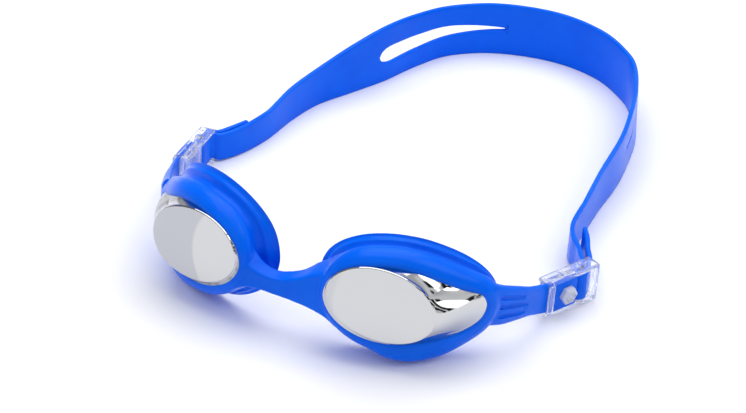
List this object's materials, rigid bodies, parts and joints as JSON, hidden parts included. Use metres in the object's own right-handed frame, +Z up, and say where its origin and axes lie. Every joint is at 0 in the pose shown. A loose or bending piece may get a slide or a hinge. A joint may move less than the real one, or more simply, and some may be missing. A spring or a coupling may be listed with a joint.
{
  "type": "swim goggles",
  "caption": "Swim goggles with mirrored oval lenses in a soft one-piece frame with flared eye seals, clear side clips and a split silicone head strap.",
  "frame": {"origin": "bottom centre of the whole object, on the surface it lies on", "axes": "+Z up, lenses face -Y, strap loop lies towards +Y, the wearer's left eye is at +X"},
  "size_m": [0.155, 0.218, 0.0434],
  "materials": {
    "frame_silicone": "satin moulded silicone",
    "seal_silicone": "soft satin silicone",
    "strap_silicone": "satin moulded silicone",
    "mirror_lens": "polished, mirror-coated polycarbonate",
    "clear_clip": "clear glossy polycarbonate"
  },
  "bodies": {
    "front": {"face_frame": "frame_silicone", "seal_left": "seal_silicone", "seal_right": "seal_silicone", "lens_left": "mirror_lens", "lens_right": "mirror_lens", "strap": "strap_silicone"},
    "right_clip": {"clip_right": "clear_clip", "arm_right": "frame_silicone", "strap_end_right": "strap_silicone"},
    "left_clip": {"clip_left": "clear_clip", "arm_left": "frame_silicone", "strap_end_left": "strap_silicone"}
  },
  "joints": [
    {"name": "arm_flex_right", "type": "hinge", "parent": "front", "child": "right_clip", "pos_m": [0.0577, -0.08237, 0.018], "axis": [0, 0, 1], "range_deg": [-12, 20], "stiffness_Nm_per_rad": 0.02, "deforming": ["arm_right", "strap_end_right"]},
    {"name": "arm_flex_left", "type": "hinge", "parent": "front", "child": "left_clip", "pos_m": [-0.0623, -0.08237, 0.018], "axis": [0, 0, -1], "range_deg": [-12, 20], "stiffness_Nm_per_rad": 0.02, "deforming": ["arm_left", "strap_end_left"]}
  ]
}
